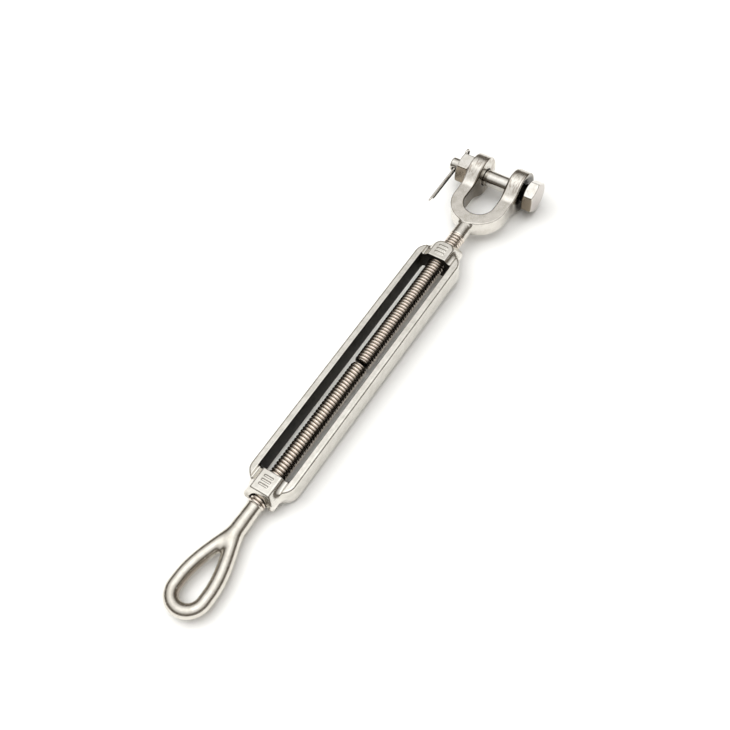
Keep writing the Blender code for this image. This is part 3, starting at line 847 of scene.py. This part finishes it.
CAMERA_PLACE = Vector((-143.5, -124.6, 292.3))
CAMERA_LOOK = Vector((0.4144, 0.3541, -0.8384))
CAMERA_UP = Vector((0.7280, 0.4239, 0.5389))
CAMERA_LENS = 49.315
FLOOR_HALF = 1.5
LIGHTS = (("key", (-0.15, 0.5, 0.75), 0.6, 1.7),
          ("fill", (-0.05, 0.22, 0.9), 1.6, 8.6))


def make_camera():
    data = bpy.data.cameras.new("camera")
    data.lens = CAMERA_LENS
    data.sensor_width = 36
    data.clip_start = 0.01
    camera = bpy.data.objects.new("camera", data)
    bpy.context.scene.collection.objects.link(camera)
    look = CAMERA_LOOK.normalized()
    right = look.cross(CAMERA_UP).normalized()
    up = right.cross(look)
    turn = Matrix((right, up, -look)).transposed().to_4x4()
    camera.matrix_world = Matrix.Translation(BODY_MIDDLE + CAMERA_PLACE * MM) @ turn
    bpy.context.scene.camera = camera


def make_floor():
    """White paper under the two points the turnbuckle rests on: the ears and the eye's boss."""
    ears = Vector((EAR_X, 0, -EAR_RADIUS))
    boss = Vector((-BOSS_END + 2.0, 0, -BOSS_TOP))
    slope = (ears.z - boss.z) / (ears.x - boss.x)
    half = FLOOR_HALF
    mesh = bpy.data.meshes.new("floor")
    corners = [(-half, -half), (half, -half), (half, half), (-half, half)]
    middle = BODY_MIDDLE + boss * MM
    places = [(x, y, middle.z + (x - middle.x) * slope) for x, y in corners]
    mesh.from_pydata(places, [], [(0, 1, 2, 3)])
    floor = bpy.data.objects.new("floor", mesh)
    floor.data.materials.append(floor_material())
    bpy.context.scene.collection.objects.link(floor)


# What the camera sees of the tent past the paper, and what the metal sees of it:
# the sine of the elevation, and the tent's colour there
TENT_SEEN = (0.6, 0.6, 0.59)
SKY_STRENGTH = 1.6
SKY = (
    (0.0, (0.11, 0.095, 0.08)),
    (0.28, (0.09, 0.078, 0.065)),
    (0.42, (0.055, 0.048, 0.04)),
    (0.60, (0.27, 0.26, 0.245)),
    (0.73, (0.51, 0.50, 0.485)),
    (0.86, (0.645, 0.64, 0.63)),
    (0.96, (0.95, 0.95, 0.94)),
    (1.0, (1.0, 1.0, 1.0)),
)


def make_sky():
    """A pale tent: bright overhead, darker round the horizon."""
    world = bpy.data.worlds.new("light tent")
    bpy.context.scene.world = world
    world.use_nodes = True
    tree = world.node_tree
    background = tree.nodes["Background"]
    place = tree.nodes.new("ShaderNodeTexCoord")
    parts = tree.nodes.new("ShaderNodeSeparateXYZ")
    ramp = tree.nodes.new("ShaderNodeValToRGB")
    tree.links.new(place.outputs["Generated"], parts.inputs[0])
    tree.links.new(parts.outputs["Z"], ramp.inputs["Fac"])
    rays = tree.nodes.new("ShaderNodeLightPath")
    seen = tree.nodes.new("ShaderNodeMix")
    seen.data_type = "RGBA"
    seen.inputs[7].default_value = (*TENT_SEEN, 1)
    tree.links.new(rays.outputs["Is Camera Ray"], seen.inputs["Factor"])
    tree.links.new(ramp.outputs["Color"], seen.inputs[6])
    tree.links.new(seen.outputs[2], background.inputs["Color"])
    stops = ramp.color_ramp.elements
    stops[0].position, stops[0].color = SKY[0][0], (*SKY[0][1], 1)
    stops[1].position, stops[1].color = SKY[-1][0], (*SKY[-1][1], 1)
    for position, colour in SKY[1:-1]:
        stops.new(position).color = (*colour, 1)
    background.inputs["Strength"].default_value = SKY_STRENGTH


def area_light(name, place, size, power):
    """A square white light aimed at the body's middle, which the metal doesn't mirror."""
    data = bpy.data.lights.new(name, "AREA")
    data.shape = "SQUARE"
    data.size = size
    data.energy = power
    light = bpy.data.objects.new(name, data)
    bpy.context.scene.collection.objects.link(light)
    light.location = BODY_MIDDLE + Vector(place)
    light.rotation_euler = (-Vector(place)).to_track_quat("-Z", "Y").to_euler()
    light.visible_glossy = False


def make_studio():
    make_floor()
    make_sky()
    for light in LIGHTS:
        area_light(*light)
    make_camera()
    bpy.context.scene.view_settings.view_transform = "Standard"


PIECES = (
    ("turnbuckle_body", make_body, body_material, "cast_body"),
    ("jaw_end", make_jaw, jaw_material, "forged_jaw"),
    ("eye_end", make_eye, eye_material, "forged_eye"),
    ("clevis_bolt", make_bolt, bolt_material, "bolt"),
    ("hex_nut", make_nut, nut_material, "nut"),
    ("split_pin", make_split_pin, wire_material, "wire"),
)


def build():
    for node, make, material, slot in PIECES:
        piece = make()
        piece.data.materials.clear()
        piece.data.materials.append(material())
        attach(piece, node)
        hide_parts(node)
    make_studio()


build()
